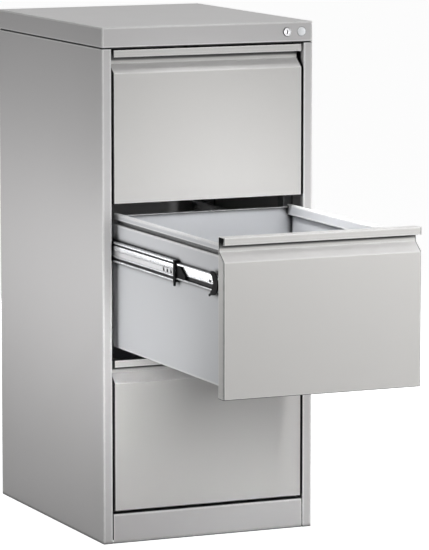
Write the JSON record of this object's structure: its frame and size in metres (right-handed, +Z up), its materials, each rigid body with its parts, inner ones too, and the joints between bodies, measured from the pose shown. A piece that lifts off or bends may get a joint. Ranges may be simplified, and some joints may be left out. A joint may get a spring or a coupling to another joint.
{
  "type": "suspension file cabinet",
  "caption": "Upright steel file cabinet with full-extension drawers for hanging files on telescopic ball slides, recessed grips and a cylinder lock.",
  "frame": {"origin": "middle of the cabinet's footprint, on the floor", "axes": "+X to the right seen from the front, +Y to the back, +Z up; the fronts face -Y"},
  "size_m": [0.46, 1.12, 1.042],
  "materials": {
    "carcass_paint": "satin silver-grey powder coat with a fine orange peel",
    "front_paint": "satin silver-grey powder coat, the drawer fronts",
    "drawer_paint": "satin silver-grey powder coat, inside of the drawers",
    "inner_paint": "grey paint on pieces inside the carcass",
    "zinc_frame": "zinc-plated sheet steel",
    "slide_zinc": "bright zinc-plated rolled steel",
    "black_moulding": "black moulded nylon",
    "chrome": "bright nickel-plated lock cylinder",
    "disc": "plain pale satin disc"
  },
  "bodies": {
    "cabinet": {"left_side_panel": "carcass_paint", "right_side_panel": "carcass_paint", "back_panel": "carcass_paint", "top_cover": "carcass_paint", "seam_strips": "inner_paint", "front_rail": "inner_paint", "bottom_shelf": "inner_paint", "base_frame": "inner_paint", "plinth": "carcass_paint", "uprights": "zinc_frame", "lock_housing": "chrome", "bar_guides": "zinc_frame", "blank_disc": "disc", "slide_1_outer": "slide_zinc", "slide_2_outer": "slide_zinc", "slide_3_outer": "slide_zinc"},
    "lock_plug": {"lock_plug": "chrome"},
    "lock_bar": {"lock_bar": "zinc_frame"},
    "drawer_1": {"drawer_1_front": "front_paint", "drawer_1_lining": "drawer_paint", "drawer_1_grip": "front_paint", "drawer_1_left_side": "drawer_paint", "drawer_1_right_side": "drawer_paint", "drawer_1_back": "drawer_paint", "drawer_1_floor": "drawer_paint", "slide_1_inner_left": "slide_zinc", "slide_1_inner_right": "slide_zinc", "slide_1_mouldings": "black_moulding"},
    "slide_1_middle_left_body": {"slide_1_middle_left": "slide_zinc", "slide_1_bumper_left": "black_moulding"},
    "slide_1_middle_right_body": {"slide_1_middle_right": "slide_zinc", "slide_1_bumper_right": "black_moulding"},
    "drawer_2": {"drawer_2_front": "front_paint", "drawer_2_lining": "drawer_paint", "drawer_2_grip": "front_paint", "drawer_2_left_side": "drawer_paint", "drawer_2_right_side": "drawer_paint", "drawer_2_back": "drawer_paint", "drawer_2_floor": "drawer_paint", "slide_2_inner_left": "slide_zinc", "slide_2_inner_right": "slide_zinc", "slide_2_mouldings": "black_moulding"},
    "slide_2_middle_left_body": {"slide_2_middle_left": "slide_zinc", "slide_2_bumper_left": "black_moulding"},
    "slide_2_middle_right_body": {"slide_2_middle_right": "slide_zinc", "slide_2_bumper_right": "black_moulding"},
    "drawer_3": {"drawer_3_front": "front_paint", "drawer_3_lining": "drawer_paint", "drawer_3_grip": "front_paint", "drawer_3_left_side": "drawer_paint", "drawer_3_right_side": "drawer_paint", "drawer_3_back": "drawer_paint", "drawer_3_floor": "drawer_paint", "slide_3_inner_left": "slide_zinc", "slide_3_inner_right": "slide_zinc", "slide_3_mouldings": "black_moulding"},
    "slide_3_middle_left_body": {"slide_3_middle_left": "slide_zinc", "slide_3_bumper_left": "black_moulding"},
    "slide_3_middle_right_body": {"slide_3_middle_right": "slide_zinc", "slide_3_bumper_right": "black_moulding"}
  },
  "joints": [
    {"name": "drawer_1_slide", "type": "slide", "parent": "cabinet", "child": "drawer_1", "axis": [0, -1, 0], "range_m": [0, 0.54]},
    {"name": "slide_1_middle_left_slide", "type": "slide", "parent": "cabinet", "child": "slide_1_middle_left_body", "axis": [0, -1, 0], "range_m": [0, 0.3862]},
    {"name": "slide_1_middle_right_slide", "type": "slide", "parent": "cabinet", "child": "slide_1_middle_right_body", "axis": [0, -1, 0], "range_m": [0, 0.3862]},
    {"name": "drawer_2_slide", "type": "slide", "parent": "cabinet", "child": "drawer_2", "axis": [0, -1, 0], "range_m": [-0.54, 0]},
    {"name": "slide_2_middle_left_slide", "type": "slide", "parent": "cabinet", "child": "slide_2_middle_left_body", "axis": [0, -1, 0], "range_m": [-0.3862, 0]},
    {"name": "slide_2_middle_right_slide", "type": "slide", "parent": "cabinet", "child": "slide_2_middle_right_body", "axis": [0, -1, 0], "range_m": [-0.3862, 0]},
    {"name": "drawer_3_slide", "type": "slide", "parent": "cabinet", "child": "drawer_3", "axis": [0, -1, 0], "range_m": [0, 0.54]},
    {"name": "slide_3_middle_left_slide", "type": "slide", "parent": "cabinet", "child": "slide_3_middle_left_body", "axis": [0, -1, 0], "range_m": [0, 0.3862]},
    {"name": "slide_3_middle_right_slide", "type": "slide", "parent": "cabinet", "child": "slide_3_middle_right_body", "axis": [0, -1, 0], "range_m": [0, 0.3862]},
    {"name": "lock_turn", "type": "hinge", "parent": "cabinet", "child": "lock_plug", "pos_m": [0.173, -0.29, 1.0215], "axis": [0, 1, 0], "range_deg": [0, 90]},
    {"name": "lock_bar_slide", "type": "slide", "parent": "cabinet", "child": "lock_bar", "axis": [0, 0, -1], "range_m": [0, 0.01]}
  ],
  "couplings": [
    {"joint": "slide_1_middle_left_slide", "follows": "drawer_1_slide", "ratio": 0.715},
    {"joint": "slide_1_middle_right_slide", "follows": "drawer_1_slide", "ratio": 0.715},
    {"joint": "slide_2_middle_left_slide", "follows": "drawer_2_slide", "ratio": 0.715},
    {"joint": "slide_2_middle_right_slide", "follows": "drawer_2_slide", "ratio": 0.715},
    {"joint": "slide_3_middle_left_slide", "follows": "drawer_3_slide", "ratio": 0.715},
    {"joint": "slide_3_middle_right_slide", "follows": "drawer_3_slide", "ratio": 0.715},
    {"joint": "lock_turn", "follows": "lock_bar_slide", "rad_per_m": 157.07}
  ]
}
